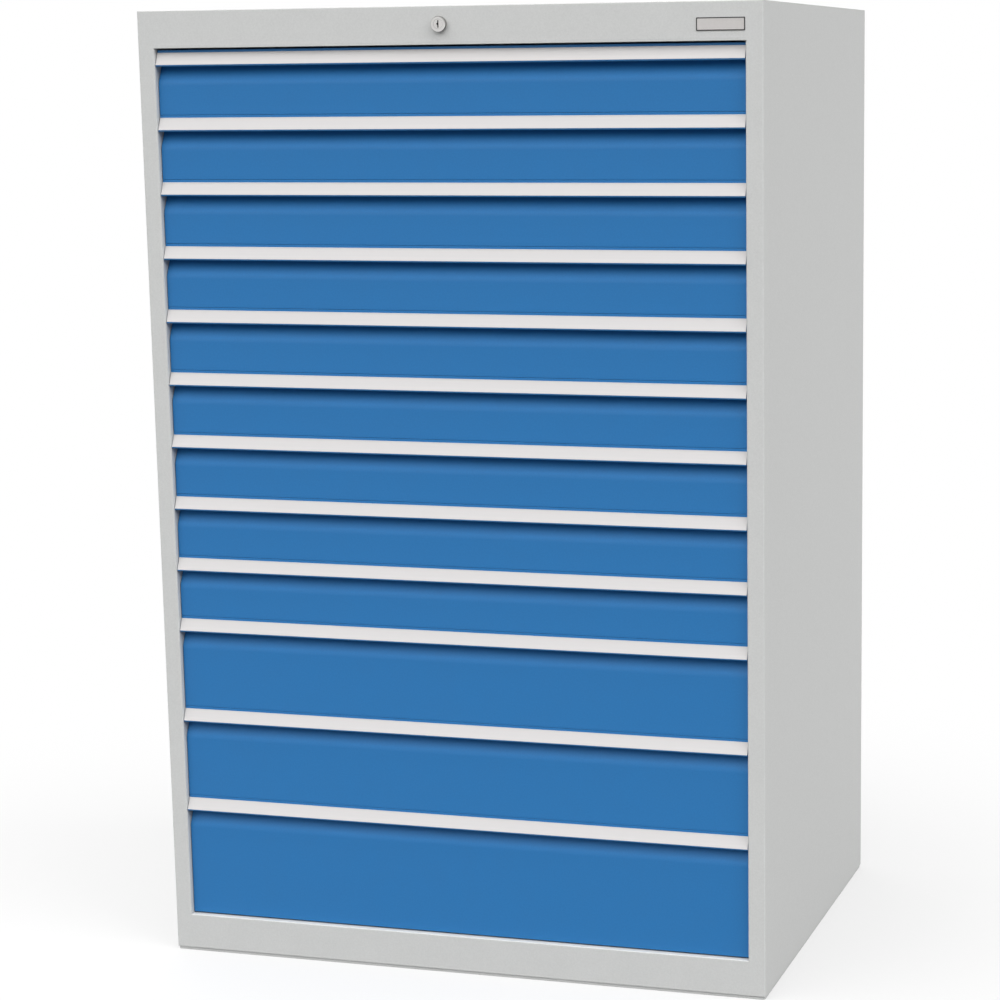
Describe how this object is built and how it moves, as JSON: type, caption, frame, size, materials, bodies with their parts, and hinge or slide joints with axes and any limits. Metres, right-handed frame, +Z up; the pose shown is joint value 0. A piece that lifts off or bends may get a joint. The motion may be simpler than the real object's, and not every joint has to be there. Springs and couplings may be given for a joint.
{
  "type": "drawer cabinet",
  "caption": "Free-standing sheet-steel drawer cabinet with full-width drawers on full-extension runners, slanted label grips and a central lock in the top rail.",
  "frame": {"origin": "on the floor, under the centre of the cabinet's box, lock face included", "axes": "+X to the cabinet's right as seen from the front, +Y towards the back, +Z up; the drawers face -Y"},
  "size_m": [1.003, 0.7434, 1.524],
  "materials": {
    "cabinet_grey": "fine-texture light grey powder coat",
    "drawer_blue": "fine-texture blue powder coat",
    "tray_grey": "smooth light grey powder coat",
    "runner_zinc": "bright zinc plate",
    "label_white": "satin off-white plastic",
    "lock_nickel": "satin nickel plate"
  },
  "bodies": {
    "cabinet": {"left_side_panel": "cabinet_grey", "right_side_panel": "cabinet_grey", "top_panel": "cabinet_grey", "base_pan": "cabinet_grey", "base_frame": "cabinet_grey", "rear_panel": "cabinet_grey", "runner_uprights": "runner_zinc", "cabinet_runners": "runner_zinc", "lock_housing": "lock_nickel"},
    "lock_barrel": {"lock_barrel": "lock_nickel"},
    "link_bar": {"link_bar": "runner_zinc"},
    "locking_shaft": {"locking_shaft": "runner_zinc"},
    "drawer_01": {"drawer_01_front": "drawer_blue", "drawer_01_label_strip": "label_white", "drawer_01_tray": "tray_grey"},
    "drawer_01_mid_runners": {"drawer_01_mid_runners": "runner_zinc"},
    "drawer_02": {"drawer_02_front": "drawer_blue", "drawer_02_label_strip": "label_white", "drawer_02_tray": "tray_grey"},
    "drawer_02_mid_runners": {"drawer_02_mid_runners": "runner_zinc"},
    "drawer_03": {"drawer_03_front": "drawer_blue", "drawer_03_label_strip": "label_white", "drawer_03_tray": "tray_grey"},
    "drawer_03_mid_runners": {"drawer_03_mid_runners": "runner_zinc"},
    "drawer_04": {"drawer_04_front": "drawer_blue", "drawer_04_label_strip": "label_white", "drawer_04_tray": "tray_grey"},
    "drawer_04_mid_runners": {"drawer_04_mid_runners": "runner_zinc"},
    "drawer_05": {"drawer_05_front": "drawer_blue", "drawer_05_label_strip": "label_white", "drawer_05_tray": "tray_grey"},
    "drawer_05_mid_runners": {"drawer_05_mid_runners": "runner_zinc"},
    "drawer_06": {"drawer_06_front": "drawer_blue", "drawer_06_label_strip": "label_white", "drawer_06_tray": "tray_grey"},
    "drawer_06_mid_runners": {"drawer_06_mid_runners": "runner_zinc"},
    "drawer_07": {"drawer_07_front": "drawer_blue", "drawer_07_label_strip": "label_white", "drawer_07_tray": "tray_grey"},
    "drawer_07_mid_runners": {"drawer_07_mid_runners": "runner_zinc"},
    "drawer_08": {"drawer_08_front": "drawer_blue", "drawer_08_label_strip": "label_white", "drawer_08_tray": "tray_grey"},
    "drawer_08_mid_runners": {"drawer_08_mid_runners": "runner_zinc"},
    "drawer_09": {"drawer_09_front": "drawer_blue", "drawer_09_label_strip": "label_white", "drawer_09_tray": "tray_grey"},
    "drawer_09_mid_runners": {"drawer_09_mid_runners": "runner_zinc"},
    "drawer_10": {"drawer_10_front": "drawer_blue", "drawer_10_label_strip": "label_white", "drawer_10_tray": "tray_grey"},
    "drawer_10_mid_runners": {"drawer_10_mid_runners": "runner_zinc"},
    "drawer_11": {"drawer_11_front": "drawer_blue", "drawer_11_label_strip": "label_white", "drawer_11_tray": "tray_grey"},
    "drawer_11_mid_runners": {"drawer_11_mid_runners": "runner_zinc"},
    "drawer_12": {"drawer_12_front": "drawer_blue", "drawer_12_label_strip": "label_white", "drawer_12_tray": "tray_grey"},
    "drawer_12_mid_runners": {"drawer_12_mid_runners": "runner_zinc"}
  },
  "joints": [
    {"name": "locking_shaft_turn", "type": "hinge", "parent": "cabinet", "child": "locking_shaft", "pos_m": [0.482, -0.30875, 0.75], "axis": [0, 0, -1], "range_deg": [0, 90]},
    {"name": "lock_turn", "type": "hinge", "parent": "cabinet", "child": "lock_barrel", "pos_m": [0, -0.36425, 1.497], "axis": [0, -1, 0], "range_deg": [0, 90]},
    {"name": "link_bar_slide", "type": "slide", "parent": "cabinet", "child": "link_bar", "axis": [-1, 0, 0], "range_m": [0, 0.0198]},
    {"name": "drawer_01_slide", "type": "slide", "parent": "cabinet", "child": "drawer_01", "axis": [0, -1, 0], "range_m": [0, 0.6]},
    {"name": "drawer_01_mid_slide", "type": "slide", "parent": "cabinet", "child": "drawer_01_mid_runners", "axis": [0, -1, 0], "range_m": [0, 0.3]},
    {"name": "drawer_02_slide", "type": "slide", "parent": "cabinet", "child": "drawer_02", "axis": [0, -1, 0], "range_m": [0, 0.6]},
    {"name": "drawer_02_mid_slide", "type": "slide", "parent": "cabinet", "child": "drawer_02_mid_runners", "axis": [0, -1, 0], "range_m": [0, 0.3]},
    {"name": "drawer_03_slide", "type": "slide", "parent": "cabinet", "child": "drawer_03", "axis": [0, -1, 0], "range_m": [0, 0.6]},
    {"name": "drawer_03_mid_slide", "type": "slide", "parent": "cabinet", "child": "drawer_03_mid_runners", "axis": [0, -1, 0], "range_m": [0, 0.3]},
    {"name": "drawer_04_slide", "type": "slide", "parent": "cabinet", "child": "drawer_04", "axis": [0, -1, 0], "range_m": [0, 0.6]},
    {"name": "drawer_04_mid_slide", "type": "slide", "parent": "cabinet", "child": "drawer_04_mid_runners", "axis": [0, -1, 0], "range_m": [0, 0.3]},
    {"name": "drawer_05_slide", "type": "slide", "parent": "cabinet", "child": "drawer_05", "axis": [0, -1, 0], "range_m": [0, 0.6]},
    {"name": "drawer_05_mid_slide", "type": "slide", "parent": "cabinet", "child": "drawer_05_mid_runners", "axis": [0, -1, 0], "range_m": [0, 0.3]},
    {"name": "drawer_06_slide", "type": "slide", "parent": "cabinet", "child": "drawer_06", "axis": [0, -1, 0], "range_m": [0, 0.6]},
    {"name": "drawer_06_mid_slide", "type": "slide", "parent": "cabinet", "child": "drawer_06_mid_runners", "axis": [0, -1, 0], "range_m": [0, 0.3]},
    {"name": "drawer_07_slide", "type": "slide", "parent": "cabinet", "child": "drawer_07", "axis": [0, -1, 0], "range_m": [0, 0.6]},
    {"name": "drawer_07_mid_slide", "type": "slide", "parent": "cabinet", "child": "drawer_07_mid_runners", "axis": [0, -1, 0], "range_m": [0, 0.3]},
    {"name": "drawer_08_slide", "type": "slide", "parent": "cabinet", "child": "drawer_08", "axis": [0, -1, 0], "range_m": [0, 0.6]},
    {"name": "drawer_08_mid_slide", "type": "slide", "parent": "cabinet", "child": "drawer_08_mid_runners", "axis": [0, -1, 0], "range_m": [0, 0.3]},
    {"name": "drawer_09_slide", "type": "slide", "parent": "cabinet", "child": "drawer_09", "axis": [0, -1, 0], "range_m": [0, 0.6]},
    {"name": "drawer_09_mid_slide", "type": "slide", "parent": "cabinet", "child": "drawer_09_mid_runners", "axis": [0, -1, 0], "range_m": [0, 0.3]},
    {"name": "drawer_10_slide", "type": "slide", "parent": "cabinet", "child": "drawer_10", "axis": [0, -1, 0], "range_m": [0, 0.6]},
    {"name": "drawer_10_mid_slide", "type": "slide", "parent": "cabinet", "child": "drawer_10_mid_runners", "axis": [0, -1, 0], "range_m": [0, 0.3]},
    {"name": "drawer_11_slide", "type": "slide", "parent": "cabinet", "child": "drawer_11", "axis": [0, -1, 0], "range_m": [0, 0.6]},
    {"name": "drawer_11_mid_slide", "type": "slide", "parent": "cabinet", "child": "drawer_11_mid_runners", "axis": [0, -1, 0], "range_m": [0, 0.3]},
    {"name": "drawer_12_slide", "type": "slide", "parent": "cabinet", "child": "drawer_12", "axis": [0, -1, 0], "range_m": [0, 0.6]},
    {"name": "drawer_12_mid_slide", "type": "slide", "parent": "cabinet", "child": "drawer_12_mid_runners", "axis": [0, -1, 0], "range_m": [0, 0.3]}
  ],
  "couplings": [
    {"joint": "lock_turn", "follows": "locking_shaft_turn", "ratio": 1},
    {"joint": "link_bar_slide", "follows": "locking_shaft_turn", "m_per_rad": 0.012604},
    {"joint": "drawer_01_mid_slide", "follows": "drawer_01_slide", "ratio": 0.5},
    {"joint": "drawer_02_mid_slide", "follows": "drawer_02_slide", "ratio": 0.5},
    {"joint": "drawer_03_mid_slide", "follows": "drawer_03_slide", "ratio": 0.5},
    {"joint": "drawer_04_mid_slide", "follows": "drawer_04_slide", "ratio": 0.5},
    {"joint": "drawer_05_mid_slide", "follows": "drawer_05_slide", "ratio": 0.5},
    {"joint": "drawer_06_mid_slide", "follows": "drawer_06_slide", "ratio": 0.5},
    {"joint": "drawer_07_mid_slide", "follows": "drawer_07_slide", "ratio": 0.5},
    {"joint": "drawer_08_mid_slide", "follows": "drawer_08_slide", "ratio": 0.5},
    {"joint": "drawer_09_mid_slide", "follows": "drawer_09_slide", "ratio": 0.5},
    {"joint": "drawer_10_mid_slide", "follows": "drawer_10_slide", "ratio": 0.5},
    {"joint": "drawer_11_mid_slide", "follows": "drawer_11_slide", "ratio": 0.5},
    {"joint": "drawer_12_mid_slide", "follows": "drawer_12_slide", "ratio": 0.5}
  ]
}
